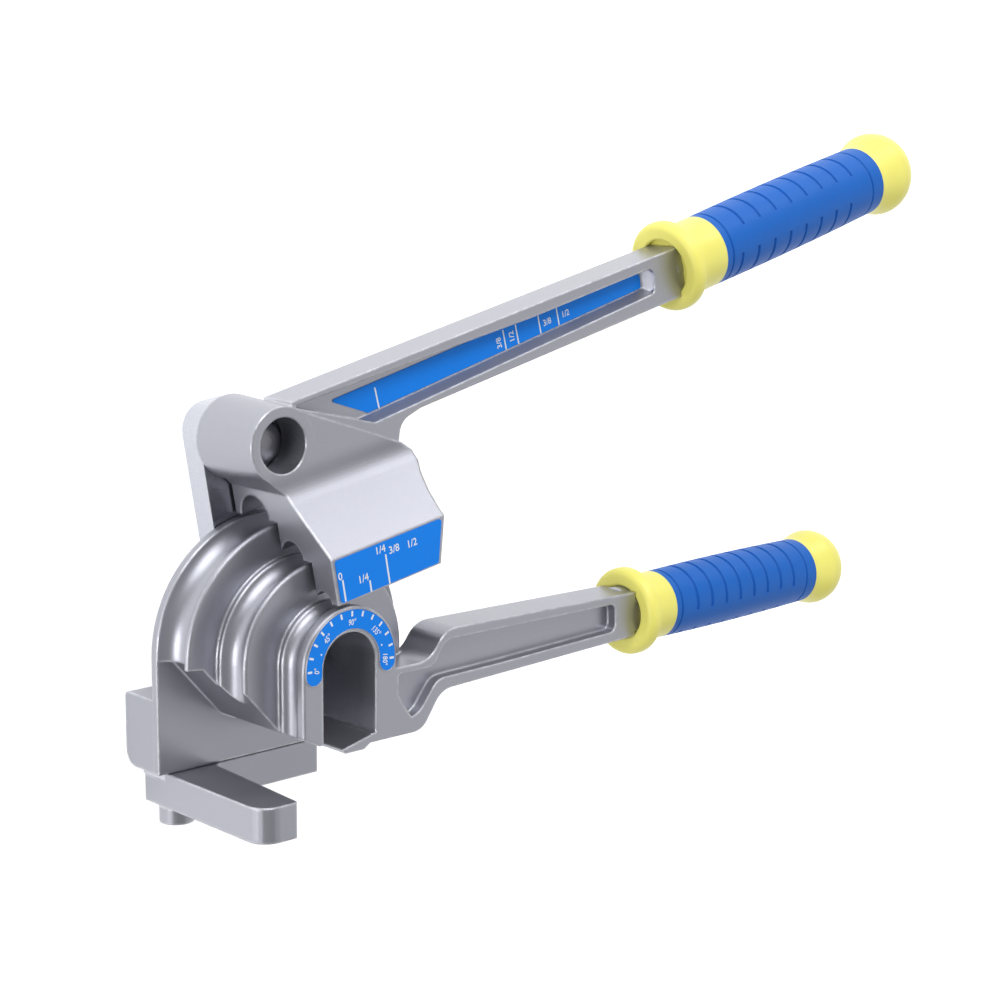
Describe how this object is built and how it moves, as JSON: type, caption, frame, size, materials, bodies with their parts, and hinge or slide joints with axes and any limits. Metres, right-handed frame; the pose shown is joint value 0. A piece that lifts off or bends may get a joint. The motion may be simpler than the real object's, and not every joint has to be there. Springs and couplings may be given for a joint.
{
  "type": "hand tube bender",
  "caption": "Two-handled lever tube bender with a stepped three-groove former, matching shoe, swing-out tube hook, blue scales and blue and yellow grips.",
  "frame": {"origin": "where the bend axis meets the bench: the centre of the back face of the pivot bolt's head, with the tool lying on its back", "axes": "+X towards the handles, +Y from the bend axis towards the lever's pin side, +Z along the bend axis, out of the dial face"},
  "size_m": [0.3064, 0.1917, 0.062],
  "materials": {
    "cast_alloy": "bead-blasted die casting with a fine silver lacquer",
    "hook_alloy": "bead-blasted die casting with a fine silver lacquer",
    "label_blue": "printed film, semi-gloss",
    "zinc_steel": "bright zinc plate",
    "dark_steel": "machined steel, slightly oiled",
    "bronze": "sintered bronze",
    "yellow_plastic": "satin moulded plastic",
    "blue_rubber": "matte soft-touch rubber"
  },
  "bodies": {
    "former": {"former_casting": "cast_alloy", "degree_scale": "label_blue", "pivot_bolt": "dark_steel", "pivot_washer": "zinc_steel", "pivot_nut": "dark_steel", "hook_screw": "dark_steel", "hook_washer": "zinc_steel", "lower_collar": "yellow_plastic", "lower_sleeve": "blue_rubber", "lower_end_knob": "yellow_plastic"},
    "link": {"link_strap": "zinc_steel", "link_bush": "bronze", "lever_pin": "dark_steel", "lever_screw": "dark_steel", "lever_washer": "zinc_steel"},
    "lever": {"lever_casting": "cast_alloy", "lever_bush": "bronze", "shoe_scale": "label_blue", "handle_scale": "label_blue", "upper_collar": "yellow_plastic", "upper_sleeve": "blue_rubber", "upper_end_knob": "yellow_plastic"},
    "hook": {"hook": "hook_alloy", "hook_wear_plate": "zinc_steel"}
  },
  "joints": [
    {"name": "link_swing", "type": "hinge", "parent": "former", "child": "link", "pos_m": [0, 0, 0.009], "axis": [0, 0, 1], "range_deg": [-20, 80]},
    {"name": "lever_pivot", "type": "hinge", "parent": "link", "child": "lever", "pos_m": [-0.00865, 0.05927, 0.019], "axis": [0, 0, 1], "range_deg": [0, 100]},
    {"name": "hook_swing", "type": "hinge", "parent": "former", "child": "hook", "pos_m": [-0.028, -0.0385, 0.01138], "axis": [0, -1, 0], "range_deg": [0, 90]}
  ]
}
